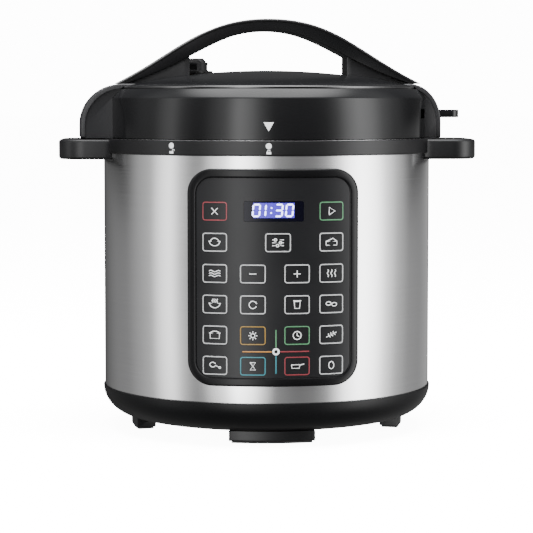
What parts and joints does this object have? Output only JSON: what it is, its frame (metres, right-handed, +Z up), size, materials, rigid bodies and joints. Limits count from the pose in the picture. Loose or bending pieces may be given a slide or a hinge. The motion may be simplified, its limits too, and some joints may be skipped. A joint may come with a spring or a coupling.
{
  "type": "electric pressure cooker",
  "caption": "Drum-shaped electric pressure cooker with a lift-out pot, a twist-lock lid with an arched handle, a steam valve and a touch panel.",
  "frame": {"origin": "on the floor, under the axis of the pot and the drum", "axes": "+Z up along the pot's axis; the control panel faces -Y; +X is to the right seen from the front"},
  "size_m": [0.342, 0.3093, 0.337],
  "materials": {
    "satin_black": "moulded plastic with a fine satin grain",
    "gloss_black": "polished moulded plastic",
    "dark_plastic": "plain moulded plastic",
    "foot_rubber": "soft rubber pads",
    "zinc_screw": "zinc-plated screws",
    "zinc_sheet": "zinc-plated sheet steel",
    "brushed_drum": "stainless sheet brushed round the drum",
    "pot_steel": "polished stainless steel",
    "spring_steel": "spring steel",
    "element_steel": "heat-stained steel sheath",
    "cast_aluminium": "cast and turned aluminium",
    "ceramic_white": "glazed ceramic and white nylon",
    "panel_frame": "polished moulded frame",
    "panel_face": "printed film behind a gloss skin",
    "display_glass": "tinted window",
    "board_green": "circuit board",
    "board_tan": "paper circuit board",
    "component_mix": "transformer, relay, capacitors and terminals",
    "pin_brass": "turned and stamped brass",
    "wire_skin": "silicone lead insulation",
    "clear_plastic": "clear moulded plastic",
    "silicone": "translucent silicone",
    "float_red": "red float"
  },
  "bodies": {
    "root": {"base_cover": "satin_black", "feet": "satin_black", "foot_pads": "foot_rubber", "base_screws": "zinc_screw", "chassis_plate": "zinc_sheet", "standoffs": "zinc_sheet", "outer_shell": "brushed_drum", "top_collar": "gloss_black", "collar_screws": "zinc_screw", "liner_pot": "zinc_sheet", "thermal_fuse": "ceramic_white", "spring_dish": "spring_steel", "heating_plate": "cast_aluminium", "heating_element": "element_steel", "pressure_switch": "dark_plastic", "sensor_sleeve": "ceramic_white", "panel_bezel": "panel_frame", "panel_overlay": "panel_face", "display_window": "display_glass", "display_module": "dark_plastic", "control_board": "board_green", "board_components": "dark_plastic", "board_screws": "zinc_screw", "power_board": "board_tan", "power_components": "component_mix", "inlet_socket": "dark_plastic", "inlet_pins": "pin_brass", "inner_wiring": "wire_skin", "drip_spout": "dark_plastic", "cup_bracket": "satin_black"},
    "cup": {"drip_cup": "clear_plastic"},
    "pot": {"inner_pot": "pot_steel"},
    "sensor": {"sensor_cap": "cast_aluminium", "sensor_spring": "spring_steel"},
    "seal": {"sealing_ring": "silicone"},
    "lid": {"lid_cover": "gloss_black", "lid_plate": "pot_steel", "ring_rack": "pot_steel", "left_ear": "gloss_black", "right_ear": "gloss_black", "handle_body": "gloss_black", "handle_cap": "gloss_black", "lid_screws": "zinc_screw", "handle_screws": "zinc_screw", "vent_pipe": "pin_brass", "vent_nut": "zinc_screw", "vent_shield": "pot_steel", "float_seat": "ceramic_white", "lever_pin": "zinc_screw", "lever_spring": "spring_steel", "interlock_guide": "zinc_sheet"},
    "steam_weight": {"steam_weight": "pot_steel"},
    "steam_cap": {"steam_cap": "satin_black"},
    "float_valve": {"float_pin": "float_red", "float_gasket": "silicone"},
    "lever": {"release_lever": "satin_black"},
    "interlock": {"interlock_slider": "zinc_sheet", "interlock_spring": "spring_steel"}
  },
  "joints": [
    {"name": "lid_lift", "type": "slide", "parent": "root", "child": "seal", "axis": [0, 0, 1], "range_m": [0, 0.36]},
    {"name": "lid_turn", "type": "hinge", "parent": "seal", "child": "lid", "pos_m": [0, 0, 0.25], "axis": [0, 0, 1], "range_deg": [-34, 0]},
    {"name": "pot_lift", "type": "slide", "parent": "root", "child": "pot", "axis": [0, 0, 1], "range_m": [0, 0.18]},
    {"name": "sensor_press", "type": "slide", "parent": "root", "child": "sensor", "axis": [0, 0, 1], "range_m": [-0.003, 0], "stiffness_N_per_m": 600, "springref_m": 0.0005, "deforming": ["sensor_spring"]},
    {"name": "cup_slide", "type": "slide", "parent": "root", "child": "cup", "axis": [0, 1, 0], "range_m": [0, 0.045]},
    {"name": "valve_lift", "type": "slide", "parent": "lid", "child": "steam_weight", "axis": [0, 0, 1], "range_m": [0, 0.03]},
    {"name": "valve_turn", "type": "hinge", "parent": "steam_weight", "child": "steam_cap", "pos_m": [-0.06302, 0.04613, 0.3], "axis": [0, 0, 1], "range_deg": [-45, 45]},
    {"name": "float_rise", "type": "slide", "parent": "lid", "child": "float_valve", "axis": [0, 0, 1], "range_m": [0, 0.006]},
    {"name": "lever_swing", "type": "hinge", "parent": "lid", "child": "lever", "pos_m": [0.0998, 0.00628, 0.259], "axis": [0, 0, 1], "range_deg": [-14, 0], "stiffness_Nm_per_rad": 0.12},
    {"name": "interlock_slide", "type": "slide", "parent": "lid", "child": "interlock", "axis": [-0.0628, 0.998, 0], "range_m": [0, 0.004], "stiffness_N_per_m": 150}
  ],
  "couplings": [
    {"joint": "pot_lift", "follows": "lid_lift", "ratio": 0.5}
  ]
}
